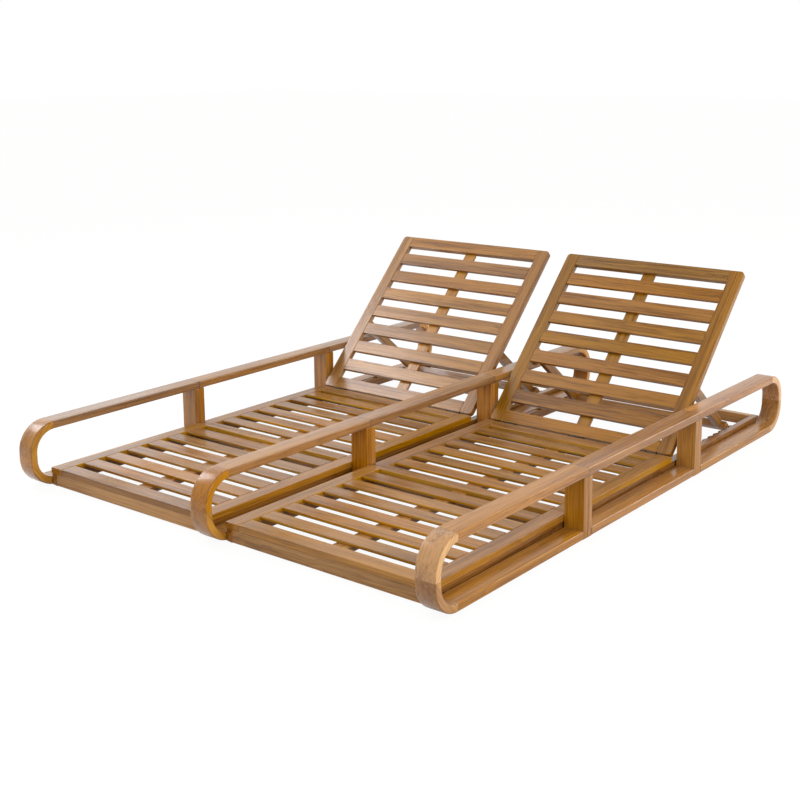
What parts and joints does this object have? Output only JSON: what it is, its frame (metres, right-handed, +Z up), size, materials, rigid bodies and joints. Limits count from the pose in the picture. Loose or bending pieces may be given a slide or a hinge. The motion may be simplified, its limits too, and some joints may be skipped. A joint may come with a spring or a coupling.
{
  "type": "double chaise lounger",
  "caption": "Low wooden sun lounger for two: slatted decks side by side between looped arms, with hinged slatted backrests on swing-out props.",
  "frame": {"origin": "middle of the footprint, on the floor", "axes": "+X across to the right-hand chaise, +Y from the foot end to the head end, +Z up"},
  "size_m": [1.58, 2, 0.5682],
  "materials": {
    "arm_wood": "oiled",
    "deck_wood": "oiled",
    "base_wood": "oiled",
    "backrest_wood": "oiled",
    "prop_wood": "oiled",
    "steel": "satin",
    "glide": "matte"
  },
  "bodies": {
    "base": {"arm_bolts": "steel", "arm_spacers": "steel", "centre_arm_bends": "arm_wood", "centre_arm_bottom_rails": "arm_wood", "centre_arm_posts": "arm_wood", "centre_arm_top_rails": "arm_wood", "glides": "glide", "hinge_pins": "steel", "left_arm_bends": "arm_wood", "left_arm_bottom_rails": "arm_wood", "left_arm_posts": "arm_wood", "left_arm_top_rails": "arm_wood", "left_cross_rails": "base_wood", "left_deck_battens": "base_wood", "left_front_deck_slats": "deck_wood", "left_front_deck_stiles": "deck_wood", "left_ratchet_strips": "base_wood", "left_seat_deck_slats": "deck_wood", "left_seat_deck_stiles": "deck_wood", "left_side_rails": "base_wood", "right_arm_bends": "arm_wood", "right_arm_bottom_rails": "arm_wood", "right_arm_posts": "arm_wood", "right_arm_top_rails": "arm_wood", "right_cross_rails": "base_wood", "right_deck_battens": "base_wood", "right_front_deck_slats": "deck_wood", "right_front_deck_stiles": "deck_wood", "right_ratchet_strips": "base_wood", "right_seat_deck_slats": "deck_wood", "right_seat_deck_stiles": "deck_wood", "right_side_rails": "base_wood", "seat_hinge_leaves": "steel", "seat_hinge_screws": "steel"},
    "left_backrest": {"left_backrest_batten": "backrest_wood", "left_backrest_bottom_rail": "backrest_wood", "left_backrest_hinge_leaves": "steel", "left_backrest_hinge_screws": "steel", "left_backrest_slats": "backrest_wood", "left_backrest_stiles": "backrest_wood", "left_backrest_top_rail": "backrest_wood", "left_prop_blocks": "backrest_wood"},
    "left_prop": {"left_prop_crossbar": "prop_wood", "left_prop_legs": "prop_wood", "left_prop_pivot_bolts": "steel"},
    "right_backrest": {"right_backrest_batten": "backrest_wood", "right_backrest_bottom_rail": "backrest_wood", "right_backrest_hinge_leaves": "steel", "right_backrest_hinge_screws": "steel", "right_backrest_slats": "backrest_wood", "right_backrest_stiles": "backrest_wood", "right_backrest_top_rail": "backrest_wood", "right_prop_blocks": "backrest_wood"},
    "right_prop": {"right_prop_crossbar": "prop_wood", "right_prop_legs": "prop_wood", "right_prop_pivot_bolts": "steel"}
  },
  "joints": [
    {"name": "left_backrest_recline", "type": "hinge", "parent": "base", "child": "left_backrest", "pos_m": [-0.3795, 0.3033, 0.058], "axis": [1, 0, 0], "range_deg": [-45.6, 19.4]},
    {"name": "left_prop_swing", "type": "hinge", "parent": "left_backrest", "child": "left_prop", "pos_m": [-0.3795, 0.53428, 0.23812], "axis": [1, 0, 0], "range_deg": [-36.2, 84.8]},
    {"name": "right_backrest_recline", "type": "hinge", "parent": "base", "child": "right_backrest", "pos_m": [0.3795, 0.3033, 0.058], "axis": [1, 0, 0], "range_deg": [-45.6, 19.4]},
    {"name": "right_prop_swing", "type": "hinge", "parent": "right_backrest", "child": "right_prop", "pos_m": [0.3795, 0.53428, 0.23812], "axis": [1, 0, 0], "range_deg": [-36.2, 84.8]}
  ],
  "couplings": [
    {"joint": "left_prop_swing", "follows": "left_backrest_recline", "ratio": -1.8546},
    {"joint": "right_prop_swing", "follows": "right_backrest_recline", "ratio": -1.8546}
  ]
}
